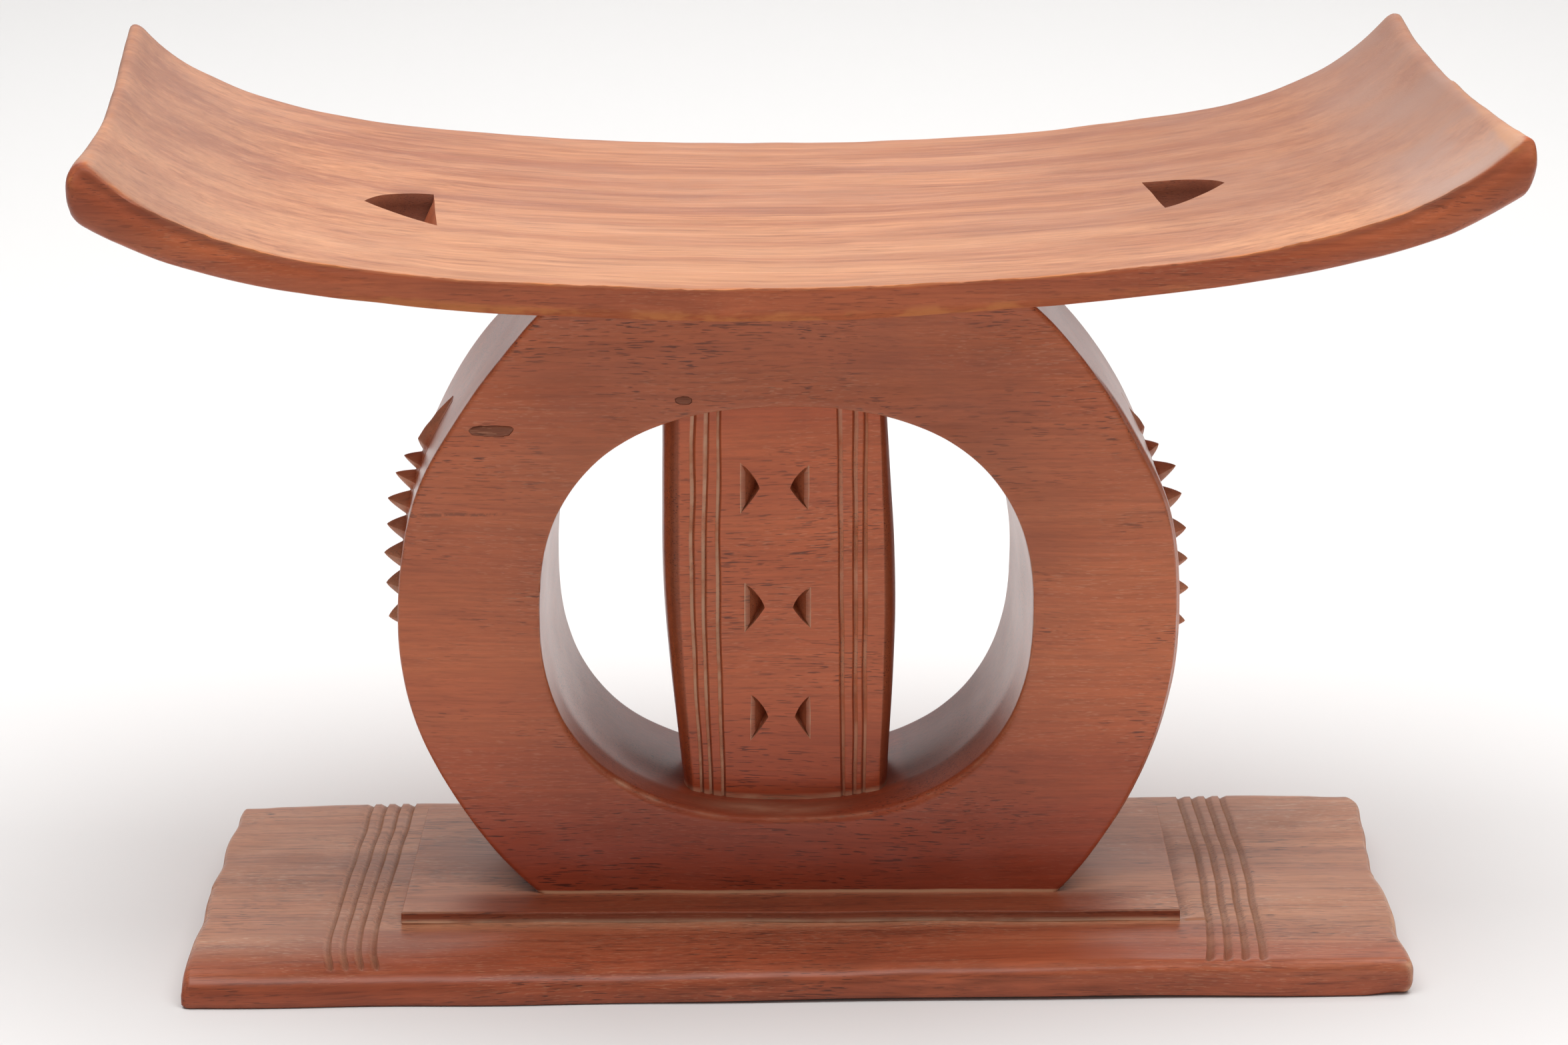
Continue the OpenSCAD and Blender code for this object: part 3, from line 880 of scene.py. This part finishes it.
def slab():
    """The flat base, with cut lines, a groove beside the pad and scalloped ends."""
    middle, half = SLAB_MIDDLE, SLAB_HALF
    points, edge, quads, top, front, left = slab_block()
    x, y, z = points.T
    wx, wy = x + middle[0], y + middle[1]
    on_top = z > half[2] - 1.6
    shift, cut = slab_lines(x, wy)
    cut = cut * on_top
    beside = wx + shift - PAD_EDGE[0] - PAD_EDGE[1] * (wy - PAD_EDGE[2])
    slope = np.where(beside > 0, 1 - beside / 5.0, 1 + beside / 1.5)
    ends = smooth(47 - np.abs(wy - PAD_EDGE[2]), 0, np.where(wy > PAD_EDGE[2], 30, 4))
    pad_groove = np.clip(slope, 0, 1) * ends * on_top
    overcut = np.clip(1 - np.abs(wy - PAD_CORNER_Y) / 0.9, 0, 1) * on_top
    overcut *= smooth(beside, 0, 2) * (1 - smooth(beside, 7, 11))
    depth = 1.05 + 0.2 * ripple(np.column_stack([wx, wy]), 20, 83) + 0.7 * smooth(-wy, 72, 84)
    high_share = (z / half[2] + 1) / 2
    back_bow = 2.0 * smooth(-wx, 110, 190) ** 2 + 1.2 * smooth(wx, 150, 190) ** 2
    y = y - smooth(y, half[1] - 25, half[1]) * back_bow
    made = np.column_stack([x + shift + slab_ends(x, points[:, 1], high_share), y, z]) + middle

    up = smooth(z, -half[2], half[2])
    made[:, 2] += up * (0.25 * ripple(made[:, :2], 60, 84) + 0.08 * ripple(made[:, :2], 20, 85))
    made[:, 2] -= cut * depth * (1 - 0.93 * smooth(wy, 55, 88))
    made[:, 2] -= pad_groove * (0.3 + 0.7 * smooth(PAD_EDGE[2] - wy, -45, 10)) + 0.4 * overcut
    made[:, 1] += 3.0 * left * high_share**2 * smooth(-y, half[1] - 16, half[1] - 3)
    made[:, 2] -= (0.3 + 0.7 * left) * high_share * smooth(-y, half[1] - 24, half[1] - 4) ** 2
    made[:, 1] += front * 0.35 * ripple(made[:, [0]], 80, 86, 5)
    made[:, 1] += top * edge * 0.2 * ripple(made, 6, 87)
    arch = 0.9 * smooth(wx, -70, 20) * (1 - smooth(wx, 90, 180)) * smooth(-wy, 20, 85)
    made[:, 2] = np.maximum(made[:, 2] + arch * (1 - high_share), 0.0)

    left_end = x < 0
    dark_from = np.where(left_end, 0.35, 0.03)
    # Darker in the cut lines and in the groove beside the pad: painted shade, and weathered wood in the
    # lines
    in_groove = 0.42 * smooth(cut, dark_from, dark_from + 0.3) + 0.24 * smooth(pad_groove, 0.05, 0.6)
    patchy = 0.7 + 0.6 * ripple(made[:, [0, 2]] * [1, 8], 30, 88)
    from_front = y + half[1]
    middle_part = 1 - smooth(np.abs(wx), 60, 170)
    # A little darker, with less of the painted sheen, in front of the pad
    before_pad = smooth(PAD_LOW[1] - wy, -2, 6) * (1 - smooth(np.abs(wx), 105, 170))
    # Painted shade along the front face, strongest in the middle and patchy
    on_front = (0.1 + 0.2 * middle_part) * patchy * (1 - smooth(from_front, 1, 10 + 6 * left))
    grime_and_shade = np.maximum(np.maximum(on_front, 0.12 * before_pad), in_groove)
    corner_worn = 0.7 * (front & ~left_end) * smooth(np.abs(x), half[0] - 4, half[0] - 2)
    fresh = 0.3 * np.maximum(smooth(cut, 0.05, 0.6), smooth(overcut, 0.3, 0.9))
    fresh = np.maximum(fresh, corner_worn * edge)
    # Painted sheen on the top, fading towards the front edge and less before the pad
    faded_and_sheen = smooth(high_share, 0.25, 1.0) * (0.25 + 0.75 * smooth(from_front, 2, 28))
    faded_and_sheen *= 1 - 0.75 * before_pad
    at_end = smooth(np.abs(wx), half[0] - 8, half[0] - 2)
    marks = marks_of(edge * (0.9 - 0.1 * at_end), fresh, grime_and_shade, faded_and_sheen)
    return finish_mesh(mesh_object("slab_carved", made, quads, marks), 36)


# -------- materials

RAW = (0.76, 0.47, 0.30)
RUBBED = (0.56, 0.26, 0.14)
# Dark red for grime and for painted shade in hollows, cuts, under edges and on shaded faces
GRIME_AND_SHADE = (0.055, 0.016, 0.009)
PORE = (0.05, 0.014, 0.009)
FLECK = (0.62, 0.30, 0.17)
CRACK = (0.10, 0.03, 0.015)
FOOT_LINE = (0.66, 0.36, 0.21)
LACQUER_IOR = 1.4
# The greyer wood near the seat's ends: x where it starts, x where it is full, share, tone
SEAT_GREYS = (
    (-0.140, -0.190, 0.36, (0.26, 0.155, 0.118)),
    (0.160, 0.192, 0.9, (0.37, 0.240, 0.196)),
)
CRACK_LEVEL = 0.1429


def colour(red, green, blue):
    return (red, green, blue, 1.0)


class Tree:
    """Short calls for building a material's nodes."""

    def __init__(self, material):
        material.use_nodes = True
        self.nodes = material.node_tree.nodes
        self.links = material.node_tree.links
        self.nodes.clear()

    def add(self, kind, values, **settings):
        """A node with these settings, and a value or a link on each input that is named."""
        node = self.nodes.new("ShaderNode" + kind)
        for name, value in settings.items():
            setattr(node, name, value)
        for name, value in values.items():
            if hasattr(value, "is_output"):
                self.links.new(value, node.inputs[name])
            else:
                node.inputs[name].default_value = value
        return node

    def math(self, operation, a, b=0.0, c=0.0):
        return self.add("Math", {0: a, 1: b, 2: c}, operation=operation).outputs[0]

    def times(self, product, *factors):
        for factor in factors:
            product = self.math("MULTIPLY", product, factor)
        return product

    def scaled(self, source, factor):
        """A colour times one number, or times three."""
        if isinstance(factor, tuple):
            node = self.add("VectorMath", {0: source, 1: factor}, operation="MULTIPLY")
        else:
            node = self.add("VectorMath", {0: source, "Scale": factor}, operation="SCALE")
        return node.outputs[0]

    def noise(self, source, scale, offset=(0, 0, 0), detail=2.0, rough=0.5, output="Fac"):
        """Noise with its own frequency along each axis."""
        place = self.add("Mapping", {"Vector": source, "Scale": scale, "Location": offset})
        values = {"Vector": place.outputs[0], "Scale": 1.0, "Detail": detail, "Roughness": rough}
        return self.add("TexNoise", values).outputs[output]

    def level(self, value, low, high, to_low=0.0, to_high=1.0):
        """A soft S from to_low, where value is low, to to_high, where it is high."""
        values = {"Value": value, "From Min": low, "From Max": high, "To Min": to_low, "To Max": to_high}
        return self.add("MapRange", values, interpolation_type="SMOOTHSTEP").outputs[0]

    def mix(self, amount, a, b):
        """Colour a, covered with colour b by amount."""
        a, b = (c if hasattr(c, "is_output") else colour(*c) for c in (a, b))
        return self.add("Mix", {0: amount, 6: a, 7: b}, data_type="RGBA").outputs[2]

    def surface(self, values):
        shader = self.add("BsdfPrincipled", values)
        self.add("OutputMaterial", {"Surface": shader.outputs[0]})


def wood(
    name, dark, body, light, pale=0.5, bands=1.0, lines=0.5, flecks=0.5, pores=0.6, worn=0.6,
    coat=0.7, rubbed_and_lit_tone=RUBBED, faded_and_sheen=None,
):
    """Oiled reddish hardwood, grain along X: bands, fine lines, pores, flecks, wear and grime, and the
    painted shade, light and sheen that the marks carry.
    """
    material = bpy.data.materials.new(name)
    t = Tree(material)
    place = t.add("TexCoord", {}).outputs["Object"]
    spot = t.add("SeparateXYZ", {0: place}).outputs
    attribute = t.add("Attribute", {}, attribute_name="marks")
    edge, cut, grime_and_shade = t.add("SeparateColor", {"Color": attribute.outputs["Color"]}).outputs
    matte_fade_and_sheen = attribute.outputs["Alpha"]

    swirl = t.noise(place, (5, 11, 11), detail=1.5, output="Color")
    bend = {0: swirl, 1: (0.0, 0.014, 0.014), 2: place}
    grain = t.add("VectorMath", bend, operation="MULTIPLY_ADD").outputs[0]
    broad = t.noise(grain, (3.0, 75, 75), detail=3, rough=0.55)
    fibres = t.noise(grain, (22, 800, 800), (3, 1, 7), 4, 0.65)
    thin = t.noise(grain, (48, 1150, 1150), (9, 4, 2), 3, 0.6)
    streaks = t.noise(grain, (13, 400, 400), (6, 3, 8), 5, 0.72)
    patches = t.noise(place, (12, 22, 22), (1, 8, 5), 4, 0.6)

    tint = t.math("MULTIPLY_ADD", t.level(broad, 0.3, 0.7), bands, 0.5 - 0.5 * bands)
    base = t.mix(tint, body, light)
    base = t.mix(t.level(patches, 0.46, 0.72, 0.0, 0.35 * bands), base, dark)
    gather = t.level(t.noise(place, (9, 40, 40), (2, 6, 1), 3), 0.35, 0.65, 0.25, 1.0)
    base = t.mix(t.times(t.level(thin, 0.5, 0.72), gather, lines), base, dark)
    base = t.mix(t.level(streaks, 0.5, 0.7, 0.0, 0.8 * lines), base, dark)
    base = t.scaled(base, t.level(fibres, 0.25, 0.75, 0.87, 1.13))

    cluster = t.level(t.noise(place, (18, 45, 45), (4, 4, 9)), 0.4, 0.62, 0.15)
    pore = t.level(t.noise(grain, (170, 2500, 2500), (5, 2, 3), 1.0, 0.4), 0.60, 0.68)
    pore = t.times(pore, cluster)
    base = t.mix(t.times(pore, pores), base, PORE)
    drift = t.level(t.noise(place, (16, 40, 40), (8, 1, 6)), 0.42, 0.6, 0.1)
    fleck = t.level(t.noise(grain, (300, 3200, 3200), (1, 9, 4), 1.0, 0.4), 0.60, 0.68)
    base = t.mix(t.times(fleck, drift, flecks), base, FLECK)

    if name == "seat_wood":
        base = bleach(t, base, matte_fade_and_sheen, spot, broad, fibres, patches, streaks)
    if name == "ring_wood":
        base = ring_marks(t, base, place, spot)
    # Painted sheen: on the base the fourth mark turns the tops lighter and greyer, as the white
    # backdrop's reflection would
    if faded_and_sheen:
        base = t.mix(matte_fade_and_sheen, base, t.scaled(base, faded_and_sheen))

    chips = t.noise(place, (60, 130, 130), (2, 2, 2), 3, 0.6)
    rubbed = t.times(edge, t.level(chips, 0.45, 0.62, 0.1, 1.0))
    # Rubbed wear on edges; on the seat's lower front this also paints the light from below
    base = t.mix(t.times(rubbed, worn), base, rubbed_and_lit_tone)
    raw = t.times(cut, t.level(chips, 0.35, 0.6, 0.5, 1.0))
    base = t.mix(t.times(raw, pale), base, RAW)
    # Grime and painted shade from the third mark darken the wood towards dark red
    base = t.mix(t.times(grime_and_shade, 0.8), base, GRIME_AND_SHADE)

    # Worn edges, grime and painted shade dull the coat and roughen the wood
    worn_and_shaded = t.math("MAXIMUM", edge, grime_and_shade)
    dull = worn_and_shaded if faded_and_sheen else t.math("MAXIMUM", worn_and_shaded, t.times(matte_fade_and_sheen, 0.8))
    rough = t.level(patches, 0.3, 0.7, 0.36, 0.48)
    rough = t.math("MULTIPLY_ADD", cut, 0.2, rough)
    rough = t.math("MULTIPLY_ADD", dull if name == "ring_wood" else worn_and_shaded, 0.35, rough)
    height = t.math("MULTIPLY_ADD", pore, -0.6, t.times(fibres, 0.5))
    bump = t.add("Bump", {"Strength": 0.35, "Distance": 0.00025, "Height": height})
    t.surface(
        {
            "Base Color": base,
            "Roughness": t.math("MULTIPLY_ADD", fibres, 0.08, rough),
            "Normal": bump.outputs[0],
            "IOR": LACQUER_IOR,
            "Specular IOR Level": 0.3,
            "Coat Weight": t.level(dull, 0.1, 1.0, coat, 0.1 * coat),
            "Coat IOR": LACQUER_IOR,
            "Coat Roughness": 0.28,
        }
    )
    return material


def bleach(t, base, amount, spot, broad, fibres, patches, streaks):
    """The seat's top, lighter and more golden by use, and greyer towards its ends."""
    x, y, _ = spot
    light = t.mix(t.level(broad, 0.33, 0.67), (0.31, 0.120, 0.066), (0.44, 0.196, 0.102))
    golden = t.times(t.level(y, 0.01, -0.08), t.level(broad, 0.35, 0.6, 0.5, 1.0), 0.7)
    light = t.mix(golden, light, (0.50, 0.245, 0.130))
    light = t.mix(t.level(streaks, 0.50, 0.68, 0.0, 0.5), light, (0.19, 0.070, 0.040))
    light = t.mix(t.level(streaks, 0.48, 0.32, 0.0, 0.35), light, (0.58, 0.30, 0.165))
    light = t.scaled(light, t.level(fibres, 0.25, 0.75, 0.84, 1.16))
    base = t.mix(t.times(amount, 0.92), base, light)
    mottled = t.level(patches, 0.35, 0.6, 0.35, 1.0)
    for start, full, share, tone in SEAT_GREYS:
        here = t.times(t.level(x, start, full), mottled, share, amount)
        base = t.mix(here, base, tone)
    rim = t.times(t.level(x, 0.2040, 0.2058), t.level(patches, 0.35, 0.5, 0.4, 1.0), amount, 0.6)
    base = t.mix(rim, base, (0.50, 0.24, 0.12))
    darker = t.times(t.level(x, 0.04, 0.15), t.level(y, -0.09, -0.02), amount, 0.45)
    return t.mix(darker, base, (0.22, 0.085, 0.045))


def ring_marks(t, base, place, spot):
    """Lighter at the sides and on the post as painted light, darker and redder towards the foot as
    painted shade, pale-lined at the foot, one crack.
    """
    x, y, z = spot
    wide, deep = t.math("ABSOLUTE", x), t.math("ABSOLUTE", y)
    # Painted light: the post lighter, against the shade it gets inside the hole
    on_post = t.times(t.level(wide, 0.038, 0.035), t.level(deep, 0.0255, 0.0225))
    base = t.mix(on_post, base, t.scaled(base, (1.32, 1.20, 1.10)))
    # Painted light: the ring lighter towards its sides, away from the shade of the seat above and the
    # base below
    base = t.scaled(base, t.level(wide, 0.06, 0.105, 1.0, 1.2))
    # Painted shade: darker and redder towards the foot, near the base
    base = t.mix(t.level(z, 0.10, 0.02), base, t.scaled(base, (0.61, 0.35, 0.34)))
    wander = t.noise(place, (60, 1, 1), detail=3, rough=0.6)
    away = t.math("SUBTRACT", t.math("MULTIPLY_ADD", wander, 0.0022, z), CRACK_LEVEL)
    line = t.level(t.math("ABSOLUTE", away), 0.0002, 0.0008, 1.0, 0.0)
    inside = t.times(t.level(x, -0.1215, -0.1195), t.level(x, -0.095, -0.086, 1.0, 0.0))
    ragged = t.level(t.noise(place, (700, 300, 900)), 0.35, 0.55)
    base = t.mix(t.times(line, inside, ragged, 0.5), base, CRACK)
    foot = t.math("MULTIPLY_ADD", wander, -0.0006, t.math("SUBTRACT", z, PAD_TOP * MM))
    return t.mix(t.level(foot, 0.0010, 0.0003, 0.0, 0.9), base, FOOT_LINE)


WOODS = {
    "seat_wood": dict(
        dark=(0.18, 0.038, 0.017), body=(0.34, 0.078, 0.032), light=(0.43, 0.112, 0.045),
        # The seat's rubbed tone also paints the light from below on its lower front edge
        lines=0.35, flecks=0.15, pores=0.4, worn=0.8, coat=0.32, rubbed_and_lit_tone=(0.52, 0.18, 0.06),
    ),
    "ring_wood": dict(
        dark=(0.23, 0.048, 0.018), body=(0.43, 0.103, 0.036), light=(0.50, 0.138, 0.049),
        pale=0.95, bands=0.6, lines=0.28, pores=0.75, flecks=0.3, coat=0.85,
    ),
    "base_wood": dict(
        dark=(0.14, 0.027, 0.012), body=(0.32, 0.066, 0.026), light=(0.43, 0.102, 0.041),
        pale=0.8, bands=0.9, lines=0.7, flecks=0.25, pores=0.8, worn=0.08, coat=0.6,
        # a painted sheen for the tops: lighter and much less red
        faded_and_sheen=(1.27, 2.4, 3.2),
    ),
    "crest_wood": dict(
        dark=(0.20, 0.048, 0.02), body=(0.42, 0.11, 0.045), light=(0.54, 0.16, 0.07), coat=0.3,
    ),
    "filler_wood": dict(
        dark=(0.14, 0.04, 0.02), body=(0.24, 0.075, 0.036), light=(0.30, 0.11, 0.06),
        pores=0.8, coat=0.15,
    ),
}
MATERIALS = {name: wood(name, **look) for name, look in WOODS.items()}


# -------- pieces

PIECES = [
    (seat(), "seat", "seat_wood"),
    (trim_ring(ring()), "ring", "ring_wood"),
    (post(), "centre_post", "ring_wood"),
    (crest(-1), "left_crest", "crest_wood"),
    (crest(1), "right_crest", "crest_wood"),
    (pad(), "base_pad", "base_wood"),
    (slab(), "base_slab", "base_wood"),
    (filler("oval_filler"), "oval_filler", "filler_wood"),
    (filler("long_filler"), "long_filler", "filler_wood"),
]
for piece, node, slot in PIECES:
    piece.data.materials.clear()
    piece.data.materials.append(MATERIALS[slot])
    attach(piece, "root")
    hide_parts(node)


# -------- studio


def plain(name, value):
    material = bpy.data.materials.new(name)
    Tree(material).surface({"Base Color": value, "Roughness": 0.9, "Specular IOR Level": 0.1})
    return material


def sweep():
    """A white floor that curves up into a backdrop behind the object."""
    turn, floor_y, top_z = 0.9, 1.6, 4.0
    line = [(-3.5, 0.0), (floor_y, 0.0)]
    line += [
        (floor_y + turn * math.sin(a), turn * (1 - math.cos(a)))
        for a in np.linspace(0, math.pi / 2, 13)[1:]
    ]
    line.append((floor_y + turn, top_z))
    points = np.array([(x, y, z) for y, z in line for x in (-5.0, 5.0)]) / MM
    faces = [[2 * i, 2 * i + 1, 2 * i + 3, 2 * i + 2] for i in range(len(line) - 1)]
    obj = mesh_object("sweep", points, faces)
    for polygon in obj.data.polygons:
        polygon.use_smooth = True
    obj.data.materials.append(plain("white_paper", colour(0.735, 0.725, 0.718)))


def lamp(name, place, aim, size, power):
    light = bpy.data.lights.new(name, "AREA")
    light.shape = "RECTANGLE"
    light.size, light.size_y = size
    light.energy = power
    obj = bpy.data.objects.new(name, light)
    obj.location = place
    way = np.array(aim, float) - np.array(place, float)
    flat = math.hypot(way[0], way[1])
    obj.rotation_euler = (math.atan2(flat, -way[2]), 0, math.atan2(-way[0], way[1]))
    bpy.context.collection.objects.link(obj)


def studio():
    sweep()
    world = bpy.data.worlds.new("studio")
    world.use_nodes = True
    background = world.node_tree.nodes["Background"].inputs
    background["Color"].default_value = colour(1, 0.995, 0.99)
    background["Strength"].default_value = 0.14
    bpy.context.scene.world = world
    lamp("overhead", (0.05, -0.1, 1.6), (0.05, -0.05, 0), (2.2, 1.8), 52)
    lamp("backdrop", (0.2, 1.2, 1.6), (0.2, 2.6, 0.6), (3.0, 0.6), 22.5)
    lamp("left_front", (-1.5, -1.5, 1.1), (0, 0, 0.12), (1.0, 1.2), 2.5)
    lamp("right_front", (1.5, -1.4, 1.1), (0, 0, 0.12), (1.0, 1.2), 2.5)
    bpy.context.scene.view_settings.view_transform = "Standard"


def camera():
    data = bpy.data.cameras.new("camera")
    data.lens = 96.85
    data.sensor_width = 36
    obj = bpy.data.objects.new("camera", data)
    obj.location = (-0.0406, -1.2819, 0.5339)
    obj.rotation_euler = [math.radians(a) for a in (72.412, -0.061, -1.699)]
    bpy.context.collection.objects.link(obj)
    bpy.context.scene.camera = obj


studio()
camera()
